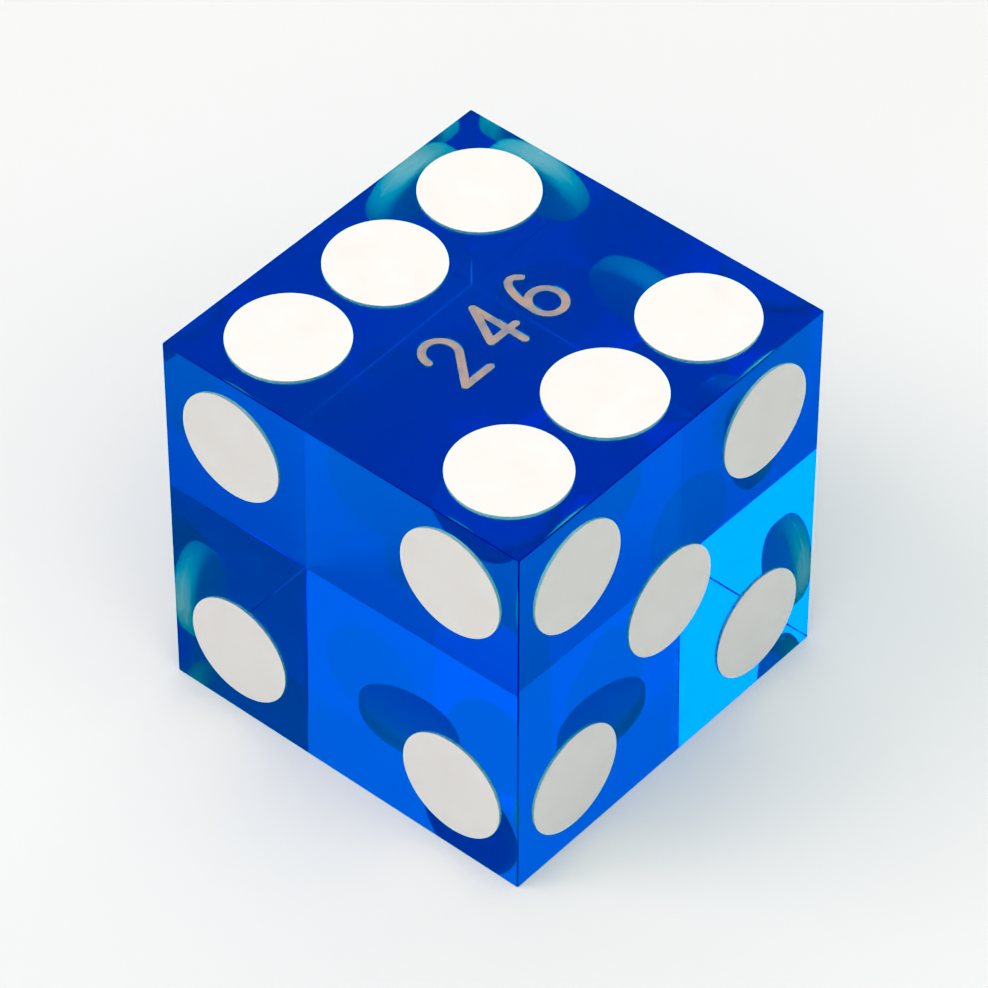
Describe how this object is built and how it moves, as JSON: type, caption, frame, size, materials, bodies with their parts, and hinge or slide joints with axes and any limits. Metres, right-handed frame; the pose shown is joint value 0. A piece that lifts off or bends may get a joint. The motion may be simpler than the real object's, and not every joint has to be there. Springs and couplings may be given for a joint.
{
  "type": "casino die",
  "caption": "Razor-edged precision die: a transparent blue block with flush white spots on six faces and a foil-stamped number.",
  "frame": {"origin": "centre of the cube, which is the centre of its bounding box", "axes": "+Z out of the six, -Z out of the one, -Y out of the four, +Y out of the three, +X out of the five, -X out of the two; the foil number on the six reads towards +Y with its top towards -X"},
  "size_m": [0.019, 0.019, 0.019],
  "materials": {
    "acetate": "transparent deep blue cellulose acetate, ground flat and polished to a mirror gloss, razor edges",
    "enamel": "opaque warm white spot enamel of the block's own density, ground flush with the face, satin gloss",
    "foil": "dull pale bronze hot-stamping foil pressed into a shallow impression"
  },
  "bodies": {
    "root": {"body": "acetate", "pip_five_centre": "enamel", "pip_five_lower_left": "enamel", "pip_five_lower_right": "enamel", "pip_five_upper_left": "enamel", "pip_five_upper_right": "enamel", "pip_four_lower_left": "enamel", "pip_four_lower_right": "enamel", "pip_four_upper_left": "enamel", "pip_four_upper_right": "enamel", "pip_one_centre": "enamel", "pip_six_left_back": "enamel", "pip_six_left_front": "enamel", "pip_six_left_middle": "enamel", "pip_six_right_back": "enamel", "pip_six_right_front": "enamel", "pip_six_right_middle": "enamel", "pip_three_centre": "enamel", "pip_three_lower_left": "enamel", "pip_three_upper_right": "enamel", "pip_two_lower_right": "enamel", "pip_two_upper_left": "enamel", "serial_digit_1": "foil", "serial_digit_2": "foil", "serial_digit_3": "foil"}
  },
  "joints": []
}
